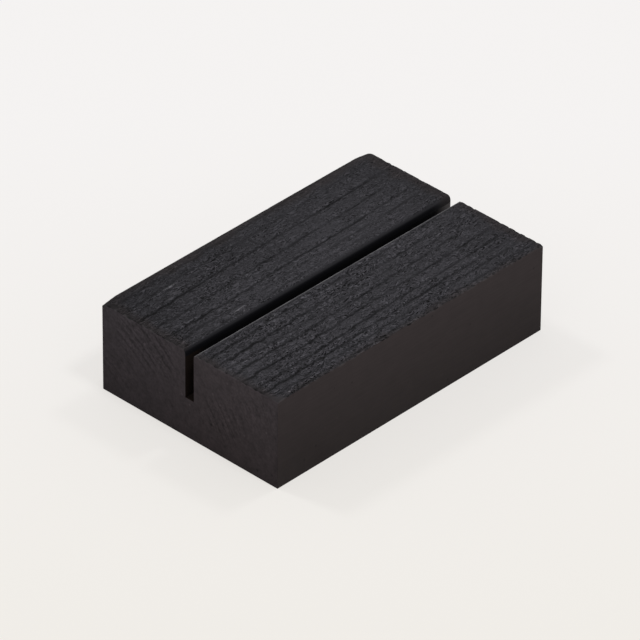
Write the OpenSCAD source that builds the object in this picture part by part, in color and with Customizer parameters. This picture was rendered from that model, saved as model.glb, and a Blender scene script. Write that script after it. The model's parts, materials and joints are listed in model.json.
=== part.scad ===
// Place card holder: one block of black-stained softwood with a slot sawn along its top.
// The card stands upright in the slot. The rear lip of the slot is rounded to lead it in.
// Lengths are in millimetres. The origin is the middle of the underside, and Z points up.
// X runs along the grain, from the near end to the far end.
// Y runs across the grain, from the planed front side to the rear side.

/* [Block] */
// Length along the grain
block_length = 110; // [60:1:200]
// Width across the grain
block_width = 70; // [40:1:120]
// Height of the block
block_height = 30; // [22:1:60]

/* [Card slot] */
// Width of the slot, one pass of the saw
slot_width = 3.4; // [1.5:0.1:6]
// Depth of the slot below the top
slot_depth = 16.4; // [8:0.2:18]
// Distance from the middle of the block forward to the middle of the slot
slot_forward = 0.1; // [0:0.1:8]
// Radius of the rounded rear lip
rear_lip_radius = 1.6; // [0.2:0.1:3]
// Radius of the front lip, which is eased less
front_lip_radius = 1.1; // [0.1:0.1:3]

/* [Outer edges] */
// Radius of the long rear edge of the top
rear_edge_radius = 0.2; // [0.1:0.1:3]
// Length of the worn corners along the rear edge of the top
worn_length = 5.6; // [2:0.2:12]
// Width of the worn corners across the top
worn_width = 1.8; // [0.6:0.1:5]
// Drop of the worn corners down the rear side
worn_drop = 0.9; // [0.3:0.1:5]

/* [Hidden] */

$fn = 64;
stain_black = "#332f30";

// Extra reach of a cut past the face that it opens, so that no skin is left
overcut = 1;

slot_front = -slot_forward - slot_width / 2;
slot_rear = -slot_forward + slot_width / 2;
slot_floor = block_height - slot_depth;

// Wood outside a rounded edge. The edge stands at the origin and the block lies towards +X and +Y.
module edge_waste(radius) {
    difference() {
        translate([-overcut, -overcut]) square(radius + overcut);
        translate([radius, radius]) circle(r = radius);
    }
}

// Cross-section of the block, seen from the far end: the page's X is the block's Y and its Y is the block's Z
module cross_section() {
    difference() {
        translate([-block_width / 2, 0]) square([block_width, block_height]);
        translate([slot_front, slot_floor]) square([slot_width, slot_depth + overcut]);
        translate([slot_front, block_height]) rotate(180) edge_waste(front_lip_radius);
        translate([slot_rear, block_height]) mirror([0, 1]) edge_waste(rear_lip_radius);
        translate([block_width / 2, block_height]) rotate(180) edge_waste(rear_edge_radius);
    }
}

// Wood beyond the worn flat at the far rear corner of the top.
// The flat meets the three edges of the corner at the worn length, width and drop.
module worn_corner() {
    steepness = [1 / worn_length, 1 / worn_width, 1 / worn_drop];
    corner_height = 1 / norm(steepness);
    tilt = acos(steepness.z * corner_height);
    heading = atan2(steepness.y, steepness.x);
    reach = 2 * (worn_length + worn_width + worn_drop);
    translate([block_length / 2, block_width / 2, block_height])
        rotate([0, tilt, heading])
            translate([-reach / 2, -reach / 2, -corner_height])
                cube(reach);
}

module slotted_block() {
    color(stain_black)
        difference() {
            rotate([90, 0, 90])
                linear_extrude(height = block_length, center = true)
                    cross_section();
            worn_corner();
            mirror([1, 0, 0]) worn_corner();
        }
}

slotted_block();
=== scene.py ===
# Place card holder: a block of black-stained softwood with a slot sawn along its top.
# Lengths are in metres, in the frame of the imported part: X along the grain, Y to the rear, Z up.
import json
import math

import bpy
import numpy as np
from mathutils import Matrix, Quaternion, Vector


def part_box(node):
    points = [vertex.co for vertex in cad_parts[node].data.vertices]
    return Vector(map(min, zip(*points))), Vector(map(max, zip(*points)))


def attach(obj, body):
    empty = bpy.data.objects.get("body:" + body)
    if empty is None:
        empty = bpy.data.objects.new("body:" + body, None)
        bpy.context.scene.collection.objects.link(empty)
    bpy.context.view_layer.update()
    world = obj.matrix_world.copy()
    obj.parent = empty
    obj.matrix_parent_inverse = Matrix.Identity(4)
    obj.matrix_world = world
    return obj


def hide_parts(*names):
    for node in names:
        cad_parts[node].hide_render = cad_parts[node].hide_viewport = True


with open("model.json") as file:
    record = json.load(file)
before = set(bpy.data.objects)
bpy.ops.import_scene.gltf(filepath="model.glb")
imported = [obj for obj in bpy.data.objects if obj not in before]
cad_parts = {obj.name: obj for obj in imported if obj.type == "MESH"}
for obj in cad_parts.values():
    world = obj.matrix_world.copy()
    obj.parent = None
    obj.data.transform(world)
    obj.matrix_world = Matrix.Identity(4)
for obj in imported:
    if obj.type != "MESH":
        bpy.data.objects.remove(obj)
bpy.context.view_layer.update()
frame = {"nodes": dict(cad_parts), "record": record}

# The slotted block
# It is one length of softwood, rough sawn on top, planed on its sides and underside, and cut square at its
# ends. One pass of the saw makes the slot, and its lips are rounded to lead a card in.
# Black stain covers it all over.

mm = 0.001

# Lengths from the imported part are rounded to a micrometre
decimals = 6
block_low, block_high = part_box("slotted_block")
front, rear = round(block_low.y, decimals), round(block_high.y, decimals)
half_length = round(block_high.x, decimals)
top = round(block_high.z, decimals)

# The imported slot: its mount lies on its floor, and the points at that height lie on its walls
same_height = 0.01 * mm
slot_floor = next(mount["pos_m"][2] for mount in frame["record"]["mounts"] if mount["name"] == "card_slot")
packed_points = [vertex.co for vertex in frame["nodes"]["slotted_block"].data.vertices]
floor_points = [point for point in packed_points if abs(point.z - slot_floor) < same_height]
wall_places = [round(point.y, decimals) for point in floor_points]
slot_front, slot_rear = min(wall_places), max(wall_places)

rear_lip_radius = 1.6 * mm
front_lip_radius = 1.1 * mm
rear_edge_radius = 0.2 * mm
arris_radius = 0.1 * mm
# The top edge of each end, and what it wears down to at the near front corner
end_edge_radius = 0.3 * mm
worn_edge_radius = 1.1 * mm
# The two rear corners of the top are rubbed off: along the rear edge, across the top and down the corner
worn_corner = Vector((5.6 * mm, 1.8 * mm, 0.9 * mm))

# The wood is a lattice of points, finest along and across the rough top and in the crown just below it
step_along = 0.4 * mm
step_across = 0.28 * mm
step_in_slot = 1.2 * mm
step_up = 2.4 * mm
foot_height = 0.3 * mm
crown_depth = 2.4 * mm
crown_step = 0.3 * mm


def stations(start, stop, spacing):
    """Even places from start to stop, no further apart than spacing."""
    return np.linspace(start, stop, math.ceil((stop - start) / spacing) + 1)


xs = stations(-half_length, half_length, step_along)
front_ys = stations(front, slot_front, step_across)
slot_ys = stations(slot_front, slot_rear, step_in_slot)
rear_ys = stations(slot_rear, rear, step_across)
ys = np.concatenate((front_ys, slot_ys[1:], rear_ys[1:]))
low_zs = np.concatenate(([0], stations(foot_height, slot_floor, step_up)))
high_zs = stations(slot_floor, top - crown_depth, step_up)
crown_zs = stations(top - crown_depth, top, crown_step)
zs = np.concatenate((low_zs, high_zs[1:], crown_zs[1:]))

# Growth rings. The heart of the tree lay behind the block and below it, and the grain drifts to the rear
# towards the far end.
pith_y = 62 * mm
pith_z = -34 * mm
grain_drift = 3.6 * mm / (2 * half_length)
innermost_ring = 42.8 * mm
# The inner years, of which only the last reaches the top, by its rear edge: how many, their growth in
# millimetres, and how far the saw tore that last one open
inner_years = 11
inner_growth = 2.5
inner_torn = 0.5
# Each further year, from the rear: its growth in millimetres, and how far the saw tore it open.
# The last two have no tear of their own, because the torn line inside the front edge takes their place.
outer_years = (
    (1.8, 0.5), (3.1, 1.0), (3.1, 0.8), (3.4, 1.0), (2.3, 0.6), (2.1, 0.45),
    (2.7, 0.45), (2.1, 0.5), (1.6, 0.8), (3.2, 1.0), (2.3, 0.45), (2.2, 0.9),
    (3.5, 0.9), (3.6, 0.95), (2.6, 1.0), (2.4, 0.6), (2.8, 0.0), (2.8, 0.0),
)
growths = [inner_growth] * inner_years + [growth for growth, torn in outer_years]
ring_lines = innermost_ring + np.cumsum(growths) * mm
ring_torn = np.array([inner_torn] * inner_years + [torn for growth, torn in outer_years])


def ring_radius(x, y, z):
    """Distance from the heart of the tree."""
    return np.hypot(y - pith_y - grain_drift * x, z - pith_z)


def ease(share):
    """Bends a straight rise from 0 to 1 into a smooth one."""
    return share * share * (3 - 2 * share)


def ramp(start, stop, value):
    """Rises smoothly from 0 where value is start to 1 where it is stop."""
    return ease(np.clip((value - start) / (stop - start), 0, 1))


def hump(distance, width):
    """Falls smoothly from 1 where distance is 0 to almost 0 at twice the width on either side."""
    return np.exp(-(distance / width) ** 2)


def wander(u, v, seed):
    """Smooth random hills and hollows from -1 to 1, about one for each unit of u and of v."""
    cells = 256
    table = np.random.default_rng(seed).uniform(-1, 1, (cells, cells))
    column = np.floor(u).astype(int)
    row = np.floor(v).astype(int)
    right = ease(u - column)
    up = ease(v - row)
    low = table[column % cells, row % cells] * (1 - right) + table[(column + 1) % cells, row % cells] * right
    row = row + 1
    high = table[column % cells, row % cells] * (1 - right) + table[(column + 1) % cells, row % cells] * right
    return low * (1 - up) + high * up


# The top, as a grid of places along and across it, and how far each lies in from the edges.
# Nearness is 1 at the near end and 0 at the far end.
grid_x, grid_y = np.meshgrid(xs, ys, indexing="ij")
nearness = 0.5 - 0.5 * grid_x / half_length
behind_slot = grid_y > (slot_front + slot_rear) / 2
from_near_end = half_length + grid_x
from_far_end = half_length - grid_x
from_end = half_length - np.abs(grid_x)
from_front = grid_y - front
from_rear = rear - grid_y


def hills(length, width, seed):
    """Smooth random hills over the top, about one for each length along it and each width across it."""
    return wander(grid_x / length, grid_y / width, seed)


def hills_along(length, seed, row=0):
    """Smooth random hills along the top, about one for each length. They differ from row to row."""
    return wander(grid_x / length, row, seed)


# Relief of the sawn top: a height at each place. Along each ring the saw tore the soft wood out in a thin
# line with a raised lip. The lines fade in and out, each year's in its own way. They wander most towards the
# near end, and break up towards the far end.
ring_wobble = 0.25 * mm
tear_depth = 0.26 * mm
tear_width = 0.44 * mm
tear_lip_height = 0.05 * mm
tear_lip_width = 0.4 * mm
tear_lip_offset = 0.8 * mm
least_opened = 0.1
radius = ring_radius(grid_x, grid_y, top) + ring_wobble * hills(24 * mm, 7 * mm, 1)
year = np.rint(np.interp(radius, ring_lines, np.arange(len(ring_lines)))).astype(int)
steepness = (pith_y - grid_y) / radius
sway = (0.12 + 0.4 * nearness ** 2) * mm * hills_along(3.0 * mm, 2, 7.3 * year)
fray = (0.07 + 0.2 * nearness) * mm * hills(0.9 * mm, 0.7 * mm, 3)
from_ring = (radius - ring_lines[year]) / steepness + sway + fray
opened = 0.95 + 0.3 * hills_along(20 * mm, 14, 9.7 * year)
opened += 0.22 * hills_along(4.5 * mm, 4, 3.1 * year) + 0.18 * hills_along(1.3 * mm, 5, 5.7 * year)
opened += 0.8 * (1 - nearness) * (hills_along(8 * mm, 20, 4.3 * year) - 0.1)
torn = ring_torn[year] * np.maximum(opened, least_opened)
torn = torn * (0.68 + 0.27 * nearness) * np.where(behind_slot, 0.88, 1)
torn *= 0.45 + 0.55 * ramp(0, 4 * mm, from_near_end)
torn *= 0.25 + 0.75 * ramp(1 * mm, 14 * mm, from_far_end)
relief = -tear_depth * torn * hump(from_ring, tear_width)
relief += tear_lip_height * torn * hump(from_ring + tear_lip_offset, tear_lip_width)

# The wood gets rougher towards the near end. It is roughest beside the rings and in patches. The slot's lips,
# the rear edge and the ends are smoother.
roughness = (0.75 + 0.5 * nearness) * np.where(behind_slot, 0.85, 1.05)
beside_ring = hump(np.abs(from_ring) - 0.9 * mm, 0.5 * mm)
in_ring = hump(from_ring, 0.4 * mm)
roughness *= 0.75 + 0.3 * beside_ring - 0.2 * in_ring
roughness *= 1.0 + 0.45 * hills(6 * mm, 2.4 * mm, 6)
past_rear_lip = ramp(0, 0.9 * mm, grid_y - slot_rear)
past_front_lip = ramp(0.3 * mm, 1.6 * mm, slot_front - grid_y)
past_lip = np.where(behind_slot, past_rear_lip, past_front_lip)
roughness *= past_lip * (0.45 + 0.55 * ramp(0, 8 * mm, from_rear))
roughness *= 0.5 + 0.5 * ramp(0, 3 * mm, from_end)
# Close to the near end it is smoother again, to the front and to the rear of the slot
roughness *= 1 - 0.35 * ramp(0.84, 0.96, nearness) * ramp(0, -10 * mm, grid_y)
roughness *= 1 - 0.3 * ramp(0.78, 0.88, nearness) * ramp(slot_rear, slot_rear + 10 * mm, grid_y)
# A strip in front of the slot is rougher, but not close to the near end
roughness *= 1 + 0.22 * ramp(0.87, 0.8, nearness) * ramp(-13 * mm, -9 * mm, grid_y) * (grid_y < slot_front)

# Slivers of wood lie all over the top. Each has its place along and across, its half length and half width,
# its turn and its curl, and then its height.
draw = np.random.default_rng(11)


def scattered(count, half_lengths, half_widths, lean, lean_spread, curl_spread):
    """Slivers in random places, without heights. Sizes are ranges in millimetres, leans are in degrees."""
    return np.column_stack((
        draw.uniform(-half_length, half_length, count),
        draw.uniform(front, rear, count),
        draw.uniform(*half_lengths, count) * mm,
        draw.uniform(*half_widths, count) * mm,
        grain_drift + np.radians(draw.normal(lean, lean_spread, count)),
        draw.normal(0, curl_spread, count),
    ))


# Short fibres, some lifted and some pulled out
fibre_count = 16000
fibre_height_spread = 0.05
fibres = np.column_stack((
    scattered(fibre_count, (0.3, 1.1), (0.14, 0.28), lean=-12, lean_spread=22, curl_spread=0.5),
    draw.normal(0, fibre_height_spread, fibre_count) * mm,
))
# Longer strands, half torn loose
strand_count = 1300
strand_heights = (0.03, 0.12)
strands = np.column_stack((
    scattered(strand_count, (0.8, 2.2), (0.15, 0.22), lean=-10, lean_spread=20, curl_spread=1.3),
    draw.uniform(*strand_heights, strand_count) * mm,
))
# Splinters stand proud towards the near end: one to the rear, two crossed beside the slot, one at the front
splinters = (
    (-35.7 * mm, 26.8 * mm, 2.9 * mm, 0.28 * mm, 0.03, 0.1, 0.4 * mm),
    (-29.8 * mm, 4.8 * mm, 2.3 * mm, 0.24 * mm, 0.07, -0.1, 0.31 * mm),
    (-29.1 * mm, 3.6 * mm, 1.5 * mm, 0.22 * mm, 0.85, 0.0, 0.22 * mm),
    (-50.2 * mm, -33.8 * mm, 2.0 * mm, 0.3 * mm, 0.06, 0.2, 0.25 * mm),
)


def lifted(slivers):
    """The height that slivers add to the top, and take from it where they were pulled out."""
    heights = np.zeros_like(relief)
    for sliver_x, sliver_y, reach, width, turn, curl, height in slivers:
        span = 1.5 * reach
        first_x, last_x = np.searchsorted(xs, (sliver_x - span, sliver_x + span))
        first_y, last_y = np.searchsorted(ys, (sliver_y - span, sliver_y + span))
        window = np.s_[first_x:last_x, first_y:last_y]
        away_x = grid_x[window] - sliver_x
        away_y = grid_y[window] - sliver_y
        along = (away_x * math.cos(turn) + away_y * math.sin(turn)) / reach
        across = (away_y * math.cos(turn) - away_x * math.sin(turn)) / width - curl * along ** 2
        heights[window] += height * np.exp(-along ** 4 - across ** 2)
    return heights


highest_fuzz = 0.13 * mm
fuzz = np.minimum((lifted(fibres) + lifted(strands)) * roughness, highest_fuzz)
relief = relief * past_lip + fuzz + lifted(splinters)

# Chips along the top's front edge and ends, where the plane and the crosscut broke torn fibres off
front_chip_depth = 0.3 * mm
front_chip_reach = 0.8 * mm
front_chip = hills_along(1.3 * mm, 7) + 0.6 * hills_along(0.7 * mm, 8)
relief -= front_chip_depth * np.clip(front_chip - 0.1, 0, 1) * ramp(front_chip_reach, 0, from_front)
# The plane also pulled fibres out in a ragged line inside the front edge, further in towards the far end
from_line = from_front - (2.3 - 1.75 * nearness) * mm + 0.25 * mm * hills_along(3.0 * mm, 17) + fray
pulled = 0.6 + 0.35 * hills_along(4.5 * mm, 18) + 0.3 * hills_along(1.3 * mm, 19)
relief -= (0.15 + 0.08 * nearness) * mm * np.clip(pulled, 0, 1) * hump(from_line, tear_width)
end_chip_depth = 0.25 * mm
end_chip_reach = 0.9 * mm
which_end = np.sign(grid_x)
end_chip = wander(which_end, grid_y / (1.3 * mm), 9) + 0.6 * wander(which_end, grid_y / (0.7 * mm), 10)
end_chip *= np.where(behind_slot, ramp(1 * mm, 4 * mm, grid_y - slot_rear), 1)
relief -= end_chip_depth * np.clip(end_chip, 0, 1) * ramp(end_chip_reach, 0, from_end)

# The near front corner of the top was rubbed smooth, this far along and across, and by this share
rubbed_length = 3.4 * mm
rubbed_width = 6.0 * mm
rubbed_share = 0.85
in_corner = from_near_end / rubbed_length + from_front / rubbed_width
corner_rub = ramp(1.1, 0.85, in_corner + 0.15 * hills(0.9 * mm, 0.9 * mm, 21))
relief *= 1 - rubbed_share * corner_rub
roughness *= 1 - rubbed_share * corner_rub

# The stain was rubbed warmer and thinner towards the outer edges. That reaches further in at the rear of the
# far end, and less far in along the front edge and at the front of the near end.
worn_reach = 4.5 * mm
fully_worn = 1 * mm
worn_raggedness = 1.5 * mm
rear_shift = np.where(grid_x > 0, -1.2 * mm, 0)
front_shift = np.where(grid_x > 0, 0, 1.5 * mm)
from_rubbed_end = from_end + np.where(behind_slot, rear_shift, front_shift)
from_edge = np.minimum(from_rubbed_end, np.minimum(from_rear, from_front + 1.5 * mm))
worn_stain = ramp(worn_reach, fully_worn, from_edge + worn_raggedness * hills(5 * mm, 4 * mm, 11))
worn_stain = np.maximum(worn_stain, 0.6 * corner_rub)

# It is darker behind the slot, towards the rear edge and the near end
plain_tone = 0.925
to_rear = ramp(slot_rear, rear, grid_y)
darker_behind_slot = 0.09 + 0.4 * (nearness + 0.1) * (to_rear - 0.5) + 0.11 * ramp(0.65, 1.0, nearness)
darker_behind_slot -= 0.06 * ramp(4 * mm, 1.5 * mm, from_rear)
stain_tone = plain_tone - np.where(behind_slot, darker_behind_slot, 0)
stain_tone += 0.09 * hills(13 * mm, 8 * mm, 16)
stain_tone += 0.2 * corner_rub
# It is a little paler along the middle of the front part and halfway along the slot, and darker at both ends
stain_tone += 0.1 * hump(grid_y + 16 * mm, 4 * mm) * ramp(0.4, 0.55, nearness)
stain_tone -= 0.08 * ramp(34 * mm, 44 * mm, grid_x)
stain_tone -= 0.11 * ramp(30 * mm, 38 * mm, grid_x) * hump(grid_y + 23 * mm, 5 * mm)
beside_slot = ramp(-14 * mm, -9 * mm, grid_y) * ramp(28 * mm, 20 * mm, grid_y)
stain_tone += 0.09 * beside_slot * hump(grid_x - 10 * mm, 20 * mm)
stain_tone -= 0.11 * beside_slot * ramp(0.78, 0.88, nearness)

# The skin of the block is laid in sheets over the lattice, each with one finish
SAWN, PLANED, END_GRAIN, KERF = range(4)
X, Y, Z = range(3)
near, far = 0, len(xs) - 1
front_side, front_wall, rear_wall, rear_side = 0, len(front_ys) - 1, len(ys) - len(rear_ys), len(ys) - 1
base, floor, crown, brow = 0, len(low_zs) - 1, len(zs) - len(crown_zs), len(zs) - 1
# For baking, each view of the block also lies on one flat square, measured in millimetres.
# Each view has its left, its low and its scale.
flat_size = 228
PLAN, BELOW = (0, 0, 1.8), (146, 160, 0.7)
FRONT, REAR = (0, 128, 1), (114, 128, 1)
NEAR_END, FAR_END = (0, 160, 1), (72, 160, 1)
REAR_WALL, FRONT_WALL = (0, 178, 1), (0, 196, 1)
# Finish, view, the axis that a sheet faces, which way, its place there, and its reach on the next two axes
sheets = (
    (SAWN, PLAN, Z, 1, brow, (near, far), (front_side, front_wall)),
    (SAWN, PLAN, Z, 1, brow, (near, far), (rear_wall, rear_side)),
    (SAWN, REAR_WALL, Y, -1, rear_wall, (crown, brow), (near, far)),
    (KERF, REAR_WALL, Y, -1, rear_wall, (floor, crown), (near, far)),
    (KERF, PLAN, Z, 1, floor, (near, far), (front_wall, rear_wall)),
    (KERF, FRONT_WALL, Y, 1, front_wall, (floor, brow), (near, far)),
    (PLANED, FRONT, Y, -1, front_side, (base, brow), (near, far)),
    (PLANED, REAR, Y, 1, rear_side, (base, brow), (near, far)),
    (END_GRAIN, NEAR_END, X, -1, near, (front_side, front_wall), (base, brow)),
    (END_GRAIN, NEAR_END, X, -1, near, (front_wall, rear_wall), (base, floor)),
    (END_GRAIN, NEAR_END, X, -1, near, (rear_wall, rear_side), (base, brow)),
    (END_GRAIN, FAR_END, X, 1, far, (front_side, front_wall), (base, brow)),
    (END_GRAIN, FAR_END, X, 1, far, (front_wall, rear_wall), (base, floor)),
    (END_GRAIN, FAR_END, X, 1, far, (rear_wall, rear_side), (base, brow)),
    (PLANED, BELOW, Z, -1, base, (near, near + 1), (front_side, rear_side)),
    (PLANED, BELOW, Z, -1, base, (far - 1, far), (front_side, rear_side)),
    (PLANED, BELOW, Z, -1, base, (near + 1, far - 1), (front_side, front_side + 1)),
    (PLANED, BELOW, Z, -1, base, (near + 1, far - 1), (rear_side - 1, rear_side)),
)


def flatten(lattice_points, axis, view):
    """Places of lattice points on the flat square, seen along an axis."""
    left, low, scale = view
    from_corner = ((xs + half_length) / mm, (ys - front) / mm, zs / mm)
    across, upward = ((Y, Z), (X, Z), (X, Y))[axis]
    u = left + scale * from_corner[across][lattice_points[:, across]]
    v = low + scale * from_corner[upward][lattice_points[:, upward]]
    return np.column_stack((u, v)) / flat_size


faces = []
finishes = []
flat_places = []
turns = ((0, 0), (1, 0), (1, 1), (0, 1))
for finish, view, axis, outward, index, second_reach, third_reach in sheets:
    second, third = np.meshgrid(np.arange(*second_reach), np.arange(*third_reach), indexing="ij")
    quads = np.empty((second.size, len(turns), 3), dtype=int)
    for corner, (second_step, third_step) in enumerate(turns if outward > 0 else turns[::-1]):
        quads[:, corner, axis] = index
        quads[:, corner, (axis + 1) % 3] = second.ravel() + second_step
        quads[:, corner, (axis + 2) % 3] = third.ravel() + third_step
    faces += quads.tolist()
    finishes += [finish] * len(quads)
    flat_places.append(flatten(quads.reshape(-1, 3), axis, view))

# Inside its border the underside is flat, so strips of a few steps' width cover it from end to end
strip_steps = 8
for left in range(front_side + 1, rear_side - 1, strip_steps):
    right = min(left + strip_steps, rear_side - 1)
    strip = [[near + 1, j, base] for j in range(left, right + 1)]
    if right == rear_side - 1:
        strip += [[i, right, base] for i in range(near + 2, far - 1)]
    strip += [[far - 1, j, base] for j in range(right, left - 1, -1)]
    if left == front_side + 1:
        strip += [[i, left, base] for i in range(far - 2, near + 1, -1)]
    faces.append(strip)
    finishes.append(PLANED)
    flat_places.append(flatten(np.array(strip), Z, BELOW))

# Number the lattice points that the faces use
face_sizes = [len(face) for face in faces]
corner_points = np.array([point for face in faces for point in face])
points, corner_numbers = np.unique(corner_points, axis=0, return_inverse=True)
ix, iy, iz = points.T
x, y, z = xs[ix], ys[iy], zs[iz]


def round_over(in_first, in_second, radius):
    """Moves points near a square edge onto a round one. The two depths are measured in from its faces."""
    almost_none = 1e-9
    first = np.clip(radius - in_first, 0, radius)
    second = np.clip(radius - in_second, 0, radius)
    reach = np.maximum(first, second)
    angle = math.pi / 4 * np.minimum(first, second) / np.maximum(reach, almost_none)
    longer = reach * np.cos(angle)
    shorter = reach * np.sin(angle)
    new_first = np.where(first >= second, longer, shorter)
    new_second = np.where(first >= second, shorter, longer)
    return in_first + first - new_first, in_second + second - new_second


# Depths of every point in from the faces round it
at_rear = iy >= rear_wall
at_front = iy <= front_wall
in_end = half_length - np.abs(x)
in_side = np.where(y > 0, rear - y, y - front)
in_top = top - z
in_base = z
in_wall = np.where(at_rear, y - slot_rear, slot_front - y)

# Rub off the two rear corners
slope = Vector((1 / worn_corner.x, 1 / worn_corner.y, 1 / worn_corner.z))
beyond = 1 - in_end * slope.x - in_side * slope.y - in_top * slope.z
missing = np.clip(beyond, 0, 1) * at_rear / slope.length_squared
in_end = in_end + missing * slope.x
in_side = in_side + missing * slope.y
in_top = in_top + missing * slope.z

# Round the slot's lips, then ease the outer edges
lip_radius = np.where(at_rear, rear_lip_radius, front_lip_radius) * (at_rear | at_front)
rounded_wall, in_top = round_over(in_wall, in_top, lip_radius)
from_wall = np.where(at_rear, 1, -1) * (rounded_wall - in_wall)
in_side, in_top = round_over(in_side, in_top, np.where(at_rear, rear_edge_radius, arris_radius))
worn_edge = ramp(slot_front, front, y) * (x < 0)
end_radius = end_edge_radius + (worn_edge_radius - end_edge_radius) * worn_edge
in_end, in_top = round_over(in_end, in_top, end_radius)
in_end, in_side = round_over(in_end, in_side, arris_radius)
in_side, in_base = round_over(in_side, in_base, arris_radius)
in_end, in_base = round_over(in_end, in_base, arris_radius)

# Put every point back from its depths, and lay the relief on it, fading out down the sides
point_relief = relief[ix, iy] * np.clip(1 - in_top / crown_depth, 0, 1)
point_x = np.sign(x) * (half_length - in_end)
point_y = np.where(y > 0, rear - in_side, front + in_side) + from_wall
point_z = np.where(z > top / 2, top - in_top, in_base) + point_relief

sharp_angle = math.radians(45)
mesh = bpy.data.meshes.new("slotted_block_wood")
corner_list = corner_numbers.ravel().tolist()
starts = np.concatenate(([0], np.cumsum(face_sizes))).tolist()
face_corners = [corner_list[start:stop] for start, stop in zip(starts[:-1], starts[1:])]
mesh.from_pydata(np.column_stack((point_x, point_y, point_z)).tolist(), [], face_corners)
mesh.polygons.foreach_set("material_index", finishes)
mesh.polygons.foreach_set("use_smooth", [True] * len(faces))
mesh.set_sharp_from_angle(angle=sharp_angle)
flat_map = mesh.uv_layers.new(name="OFBake")
flat_map.data.foreach_set("uv", np.concatenate(flat_places).ravel().astype(np.float32))

# The outer edges are rubbed pale in specks, and a painted highlight runs in a line along the crest of the
# slot's front lip
edge_paleness = 0.12
edge_reach = 0.7 * mm
edge_specks = np.clip(0.2 + wander(x / (1.1 * mm), y / (1.1 * mm), 12), 0, 1)
edge_rub = edge_paleness * edge_specks * ramp(edge_reach, 0, np.minimum(in_side, in_end))
edge_rub *= ramp(edge_reach, 0, in_top)
lip_highlight = (0.75 + 0.35 * wander(x / (1.7 * mm), 0, 13)) * ramp(1.1 * mm, 0.4 * mm, rounded_wall)
lip_highlight *= ramp(0.7 * mm, 0.1 * mm, in_top)
# The slot's rear lip is painted with shade that darkens as it rolls into the slot, except at the far end,
# where the slot is open to the light
at_lip = at_rear & (in_wall < 2 * rear_lip_radius)
near_share = 0.5 - 0.5 * x / half_length
rolled_shade = (0.28 + 0.25 * near_share) * ramp((2.1 - 1.15 * near_share) * mm, 0.4 * mm, rounded_wall)
lip_shade = np.maximum(rolled_shade, ramp(0.25 * mm, 1.0 * mm, in_top))
far_end_light = ramp(half_length - 8 * mm, half_length - 2 * mm, x)
# The rings show on the ends mostly in patches: middle across and up, reach across and up, and strength
ring_patches = (
    (17 * mm, 24 * mm, 13 * mm, 9 * mm, 1.0),
    (-13 * mm, 13 * mm, 9 * mm, 7 * mm, 0.75),
    (-25 * mm, 22 * mm, 10 * mm, 7 * mm, 0.45),
    (28 * mm, 10 * mm, 7 * mm, 6 * mm, 0.5),
)
# This much of them shows between the patches
rings_shown = 0.12
for patch_y, patch_z, reach_y, reach_z, strength in ring_patches:
    outside = ((point_y - patch_y) / reach_y) ** 2 + ((point_z - patch_z) / reach_z) ** 2
    rings_shown = np.maximum(rings_shown, strength * ramp(1.5, 0.3, outside))
# What the stain follows, and where shade and a highlight are painted, kept on the points of the mesh. The
# relief is in millimetres.
point_data = {
    "relief": point_relief / mm,
    "year": np.interp(ring_radius(point_x, point_y, point_z), ring_lines, np.arange(len(ring_lines))),
    "rub_and_highlight": np.where(at_front, np.maximum(lip_highlight, edge_rub), edge_rub),
    "rough": roughness[ix, iy] * (1 - worn_edge * ramp(1.5 * mm, 0.5 * mm, in_end)),
    "worn": worn_stain[ix, iy],
    "tone": stain_tone[ix, iy],
    "painted_slot_shade": lip_shade * at_lip * (1 - far_end_light),
    "shown": rings_shown,
}
for name, values in point_data.items():
    mesh.attributes.new(name, "FLOAT", "POINT").data.foreach_set("value", values.astype(np.float32))


def linear(colour):
    """An sRGB hex colour as linear red, green, blue and alpha."""
    channels = [int(colour[place:place + 2], 16) / 255 for place in (1, 3, 5)]
    return [c / 12.92 if c <= 0.04045 else ((c + 0.055) / 1.055) ** 2.4 for c in channels] + [1.0]


def add_node(tree, kind, inputs, **settings):
    """Adds a node with its settings, and sets or links its inputs."""
    node = tree.nodes.new(kind)
    for name, value in settings.items():
        setattr(node, name, value)
    for socket, value in inputs.items():
        if isinstance(value, bpy.types.NodeSocket):
            tree.links.new(value, node.inputs[socket])
        else:
            node.inputs[socket].default_value = value
    return node


def new_material(name):
    """An empty material and its node tree."""
    material = bpy.data.materials.new(name)
    material.use_nodes = True
    material.node_tree.nodes.clear()
    return material, material.node_tree


def object_place(tree):
    """Places in the object's own frame, in metres."""
    return add_node(tree, "ShaderNodeTexCoord", {}).outputs["Object"]


def attribute(tree, name):
    """A value that is kept on the points of the mesh."""
    return add_node(tree, "ShaderNodeAttribute", {}, attribute_name=name).outputs["Fac"]


def in_grains(tree, place, length, width, height, turn=(0, 0, 0)):
    """Places counted in grains of this size, and then turned about the origin."""
    scale = (1 / length, 1 / width, 1 / height)
    return add_node(tree, "ShaderNodeMapping", {"Vector": place, "Rotation": turn, "Scale": scale}).outputs[0]


def noise(tree, inputs, **settings):
    """Random clouds from 0 to 1, mostly near a half."""
    return add_node(tree, "ShaderNodeTexNoise", inputs, **settings).outputs["Fac"]


def remap(tree, value, start, stop, first=0, last=1, shape="LINEAR"):
    """Goes from first where value is start to last where it is stop, and stays there beyond."""
    inputs = {"Value": value, "From Min": start, "From Max": stop, "To Min": first, "To Max": last}
    return add_node(tree, "ShaderNodeMapRange", inputs, interpolation_type=shape).outputs[0]


def reckon(tree, operation, *values):
    """The result of an operation on values."""
    return add_node(tree, "ShaderNodeMath", dict(enumerate(values)), operation=operation).outputs[0]


def scaled(tree, vector, factor):
    """A colour or a place, times a factor."""
    return add_node(tree, "ShaderNodeVectorMath", {0: vector, "Scale": factor}, operation="SCALE").outputs[0]


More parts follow.
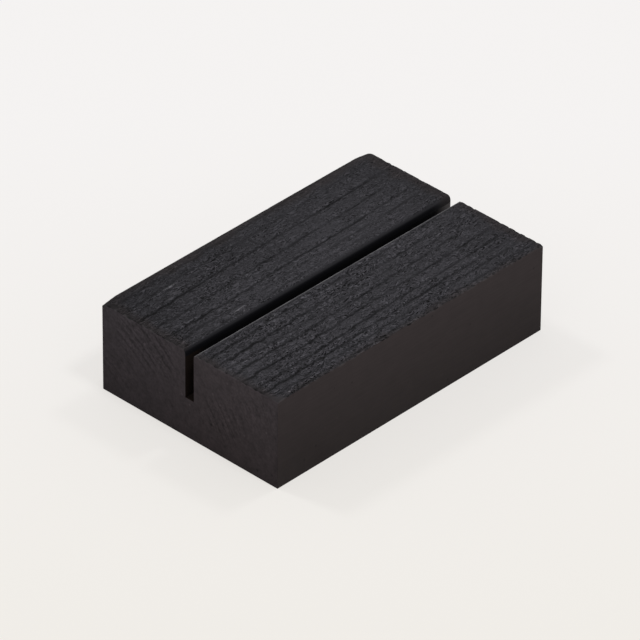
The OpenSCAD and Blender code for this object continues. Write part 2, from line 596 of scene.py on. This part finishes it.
def mix(tree, share, first, second, blend="MIX"):
    """Blends a share of the second colour into the first."""
    # Where a Mix node for colours has these sockets
    share_socket, first_socket, second_socket, mixed_socket = 0, 6, 7, 2
    inputs = {share_socket: share, first_socket: first, second_socket: second}
    node = add_node(tree, "ShaderNodeMix", inputs, data_type="RGBA", blend_type=blend)
    return node.outputs[mixed_socket]


def add_specks(tree, value, place_mm, per_mm, rim, core, darkest, palest):
    """Adds round specks to a value, each of its own paleness. Rim and core are shares of their spacing."""
    cells = add_node(tree, "ShaderNodeTexVoronoi", {"Vector": place_mm, "Scale": per_mm})
    inside = remap(tree, cells.outputs["Distance"], rim, core)
    paleness = remap(tree, cells.outputs["Color"], 0, 1, darkest, palest)
    return reckon(tree, "MULTIPLY_ADD", inside, paleness, value)


def matt_wood(tree, inputs):
    """Ends a material with the shader of plain wood."""
    shader = add_node(tree, "ShaderNodeBsdfPrincipled", inputs).outputs[0]
    add_node(tree, "ShaderNodeOutputMaterial", {"Surface": shader})


# The colour of rubbed edges and of the painted highlight on the slot's front lip, and how far up from the
# table the sides and ends are darker
rub_and_highlight_grey = linear("#7d7c7e")
dark_foot = 2.5 * mm

# Black-stained softwood, rough sawn: matt, cool charcoal, darker in the torn rings and hollows, partly where
# stain pooled and partly as painted shade, and greyer on splinters.
# Short fibres speckle it, fine tears streak it, and it is warmer where the edges were rubbed.
tear_waves = 26.0
sawn, tree = new_material("black_stained_softwood_rough_sawn")
place = object_place(tree)
relief_mm = attribute(tree, "relief")
# Lower places are darker: partly pooled stain, partly painted shade in the hollows
height = remap(tree, relief_mm, -0.2, 0.04)
stain = mix(tree, height, linear("#1d1d1f"), linear("#39383c"))
proud = remap(tree, relief_mm, 0.1, 0.35)
stain = mix(tree, proud, stain, linear("#6c6b6f"))
fibre_place = in_grains(tree, place, 0.6 * mm, 0.42 * mm, 0.42 * mm, (0, 0, math.radians(5)))
speckle = noise(tree, {"Vector": fibre_place, "Scale": 1, "Detail": 1, "Roughness": 0.6, "Distortion": 0.8})
lift = remap(tree, speckle, 0.34, 0.69, -0.38, 0.7)
tear_place = in_grains(tree, place, 2.4 * mm, 1.1 * mm, 1.1 * mm, (0, 0, math.radians(3)))
tears = noise(tree, {"Vector": tear_place, "Scale": 1, "Detail": 1, "Distortion": 0.6})
tears = reckon(tree, "SINE", reckon(tree, "MULTIPLY", tears, tear_waves))
tears = remap(tree, tears, -0.6, 1, -0.6, 1)
breaks = noise(tree, {"Vector": tear_place, "Scale": 1.3, "Detail": 0})
breaks = remap(tree, breaks, 0.4, 0.62, 0.1, 0.95)
lift = reckon(tree, "MULTIPLY_ADD", tears, breaks, lift)
lift = reckon(tree, "MULTIPLY_ADD", lift, attribute(tree, "rough"), attribute(tree, "tone"))
stain = scaled(tree, stain, lift)
stain = mix(tree, attribute(tree, "worn"), stain, linear("#f6ece5"), "MULTIPLY")
# Painted shade on the slot's rear lip, down into the slot
stain = mix(tree, attribute(tree, "painted_slot_shade"), stain, linear("#0e0e12"))
# Rubbed edges, and a painted highlight along the crest of the slot's front lip
stain = mix(tree, attribute(tree, "rub_and_highlight"), stain, rub_and_highlight_grey)
bump = add_node(tree, "ShaderNodeBump", {"Height": lift, "Strength": 1, "Distance": 0.12 * mm}).outputs[0]
matt_wood(tree, {"Base Color": stain, "Roughness": 0.85, "Specular IOR Level": 0.1, "Normal": bump})

# Black-stained softwood, planed: smooth, warm brown-black, with the grain just showing, faint clouds in the
# stain and a few specks. It is darker towards the table, and darkest at its foot, where shade is painted.
planed, tree = new_material("black_stained_softwood_planed")
place = object_place(tree)
place_mm = scaled(tree, place, 1 / mm)
grain_place = in_grains(tree, place, 14 * mm, 0.7 * mm, 0.7 * mm)
grain = noise(tree, {"Vector": grain_place, "Scale": 1, "Detail": 4})
lift = remap(tree, grain, 0.3, 0.7, 0.92, 1.08)
clouds = noise(tree, {"Vector": place_mm, "Scale": 0.2, "Detail": 1})
lift = reckon(tree, "ADD", lift, remap(tree, clouds, 0.3, 0.7, -0.05, 0.05))
lift = add_specks(tree, lift, place_mm, per_mm=0.2, rim=0.1, core=0.06, darkest=-0.4, palest=0.2)
up = add_node(tree, "ShaderNodeSeparateXYZ", {0: place}).outputs["Z"]
# Painted shade at the foot, where the block stands on the table
lift = reckon(tree, "MULTIPLY", lift, remap(tree, up, 0, dark_foot, 0.85, 1))
stain = mix(tree, remap(tree, up, 0, top), linear("#241e1e"), linear("#322b2c"))
stain = scaled(tree, stain, lift)
stain = mix(tree, attribute(tree, "rub_and_highlight"), stain, rub_and_highlight_grey)
matt_wood(tree, {"Base Color": stain, "Roughness": 0.7, "Specular IOR Level": 0.15})

# Black-stained softwood, end grain: matt, mottled brown-black, with pores and specks. In patches a dark line
# shows at each year, some more distinct than others. It is darker towards the table, with painted shade at
# its foot, darker at its upright edges, and cooler to the rear.
ring_raggedness = 0.5
pores_everywhere = 0.75
dark_edge = 1.6 * mm
end_grain, tree = new_material("black_stained_softwood_end_grain")
place = object_place(tree)
place_mm = scaled(tree, place, 1 / mm)
years = attribute(tree, "year")
pores = noise(tree, {"Vector": place_mm, "Scale": 1.3, "Detail": 1})
pitted = remap(tree, pores, 0.3, 0.7, -0.14, 0.14)
mottle = noise(tree, {"Vector": place_mm, "Scale": 0.5, "Detail": 1})
clouded = remap(tree, mottle, 0.3, 0.7, -0.14, 0.14)
ragged = reckon(tree, "MULTIPLY_ADD", mottle, ring_raggedness, years)
rings = reckon(tree, "SINE", reckon(tree, "MULTIPLY", ragged, 2 * math.pi))
rings = remap(tree, rings, -0.4, 1, 0.12, -0.28)
distinct = noise(tree, {"W": years, "Scale": 2.3, "Detail": 0}, noise_dimensions="1D")
distinct = remap(tree, distinct, 0.35, 0.65, 0.1, 1.5)
rings = reckon(tree, "MULTIPLY", rings, distinct)
change = reckon(tree, "ADD", rings, pitted)
change = reckon(tree, "MULTIPLY_ADD", change, attribute(tree, "shown"), clouded)
change = reckon(tree, "MULTIPLY_ADD", pitted, pores_everywhere, change)
change = add_specks(tree, change, place_mm, per_mm=0.33, rim=0.2, core=0.1, darkest=-0.8, palest=0.6)
axes = add_node(tree, "ShaderNodeSeparateXYZ", {0: place}).outputs
up, rearward = axes["Z"], axes["Y"]
edge_shade = remap(tree, reckon(tree, "ABSOLUTE", rearward), rear - dark_edge, rear, 1, 0.82)
# Painted shade at the foot, where the block stands on the table
edge_shade = reckon(tree, "MULTIPLY", remap(tree, up, 0, dark_foot, 0.82, 1), edge_shade)
lift = reckon(tree, "ADD", change, edge_shade)
stain = mix(tree, remap(tree, up, 0, top), linear("#2d2628"), linear("#3a3437"))
stain = scaled(tree, stain, lift)
stain = mix(tree, remap(tree, rearward, -5 * mm, 15 * mm), stain, linear("#f3f6fa"), "MULTIPLY")
stain = mix(tree, attribute(tree, "rub_and_highlight"), stain, rub_and_highlight_grey)
matt_wood(tree, {"Base Color": stain, "Roughness": 0.8, "Specular IOR Level": 0.15})

# Black-stained softwood, saw kerf: near black, partly where the stain pooled and partly as painted shade deep
# in the slot, with faint saw marks. It is painted grey at the far end as light that gets into the open end of
# the slot, and a thin brown at the near end.
kerf, tree = new_material("black_stained_softwood_saw_kerf")
place = object_place(tree)
mark_place = in_grains(tree, place, 0.6 * mm, 4 * mm, 9 * mm, (0, math.radians(20), 0))
marks = noise(tree, {"Vector": mark_place, "Scale": 1, "Detail": 2})
# Near black: pooled stain, darkened further as painted shade
stain = mix(tree, marks, linear("#0a0a0c"), linear("#121214"))
from_middle = add_node(tree, "ShaderNodeSeparateXYZ", {0: place}).outputs["X"]
# Painted light towards the far end, where the slot is open
far_end_light = remap(tree, from_middle, half_length - 7 * mm, half_length - 1 * mm, shape="SMOOTHSTEP")
stain = mix(tree, far_end_light, stain, linear("#565354"))
thinned = remap(tree, from_middle, -half_length + 9 * mm, -half_length + 4 * mm, shape="SMOOTHSTEP")
stain = mix(tree, thinned, stain, linear("#1e1815"))
matt_wood(tree, {"Base Color": stain, "Roughness": 0.9, "Specular IOR Level": 0.05})

for material in (sawn, planed, end_grain, kerf):
    mesh.materials.append(material)
block = bpy.data.objects.new("wood_block", mesh)
bpy.context.scene.collection.objects.link(block)
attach(block, "root")
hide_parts("slotted_block")

# The table
# It is a plain warm white surface, flat and matt, on which the block stands.
half_table = 4.0
# Its face is a hair below the underside, so that the two don't lie in one plane
table_z = -0.02 * mm
table_corners = [(-half_table, -half_table, table_z), (half_table, -half_table, table_z)]
table_corners += [(half_table, half_table, table_z), (-half_table, half_table, table_z)]
table_mesh = bpy.data.meshes.new("table_top")
table_mesh.from_pydata(table_corners, [], [(0, 1, 2, 3)])
table = bpy.data.objects.new("table", table_mesh)
bpy.context.scene.collection.objects.link(table)
# Matt paper, exposed as in the photograph: about two thirds of what the camera sees is its own white, and the
# rest is the light on it, with the shadows. It is warmer towards the camera and cooler beyond the block.
own_white = 0.68
away_from_camera = (0.724, 0.69, 0)
warm_place, cool_place = -0.2, 0.12
paper, tree = new_material("matt_warm_white_paper")
lit = add_node(tree, "ShaderNodeBsdfDiffuse", {"Color": linear("#f3f1ee")}).outputs[0]
ways = {0: object_place(tree), 1: away_from_camera}
away = add_node(tree, "ShaderNodeVectorMath", ways, operation="DOT_PRODUCT").outputs["Value"]
tint = mix(tree, remap(tree, away, warm_place, cool_place), linear("#f0ece4"), linear("#f8f6f6"))
white = add_node(tree, "ShaderNodeEmission", {"Color": tint, "Strength": 1}).outputs[0]
ray = add_node(tree, "ShaderNodeLightPath", {}).outputs
seen = reckon(tree, "MAXIMUM", ray["Is Camera Ray"], ray["Is Glossy Ray"])
seen = reckon(tree, "MAXIMUM", seen, ray["Is Transmission Ray"])
share = reckon(tree, "MULTIPLY", seen, own_white)
surface = add_node(tree, "ShaderNodeMixShader", {0: share, 1: lit, 2: white}).outputs[0]
add_node(tree, "ShaderNodeOutputMaterial", {"Surface": surface})
table_mesh.materials.append(paper)

# The light
# Three soft lamps stand behind the block, past its far end and in front of it, in an even white room.
room_light = {"Color": linear("#fbfaf9"), "Strength": 0.52}
lamp_width = math.radians(9)
world = bpy.data.worlds.new("white_room")
bpy.context.scene.world = world
world.use_nodes = True
world.node_tree.nodes.clear()
room = add_node(world.node_tree, "ShaderNodeBackground", room_light).outputs[0]
add_node(world.node_tree, "ShaderNodeOutputWorld", {"Surface": room})


def direction(azimuth, elevation):
    """The way from the block to something seen at these angles in degrees; azimuth 0 is straight in front."""
    around = math.radians(azimuth)
    up = math.radians(elevation)
    return Vector((math.sin(around) * math.cos(up), -math.cos(around) * math.cos(up), math.sin(up)))


# Name, azimuth and elevation in degrees, and strength
lamps = (("rear_lamp", 191, 52, 0.56), ("far_end_lamp", 83, 57, 0.42), ("front_lamp", 3, 63, 0.7))
for name, azimuth, elevation, strength in lamps:
    lamp_data = bpy.data.lights.new(name, "SUN")
    lamp_data.energy = strength
    lamp_data.angle = lamp_width
    lamp = bpy.data.objects.new(name, lamp_data)
    lamp.rotation_mode = "QUATERNION"
    lamp.rotation_quaternion = direction(azimuth, elevation).to_track_quat("Z", "Y")
    bpy.context.scene.collection.objects.link(lamp)

# The camera
# It looks down on the near corner from a long way off, as the photograph does. Its angles are in degrees.
camera_azimuth, camera_elevation, camera_roll = -46.347, 34.842, 0.4536
camera_distance_mm = 2241.2
camera_lens = 437.43
aim = Vector((-1.88 * mm, -0.65 * mm, 15 * mm))
# A small shift of the aim in the plane of the picture, to the left and up
picture_shift = Vector((-0.173 * mm, 0.072 * mm, 0))
back = direction(camera_azimuth, camera_elevation)
turn = back.to_track_quat("Z", "Y") @ Quaternion((0, 0, 1), math.radians(camera_roll))
aim += turn @ picture_shift
camera_data = bpy.data.cameras.new("camera")
camera_data.lens = camera_lens
camera = bpy.data.objects.new("camera", camera_data)
camera.location = aim + back * camera_distance_mm * mm
camera.rotation_mode = "QUATERNION"
camera.rotation_quaternion = turn
bpy.context.scene.collection.objects.link(camera)
bpy.context.scene.camera = camera
bpy.context.scene.view_settings.view_transform = "Standard"
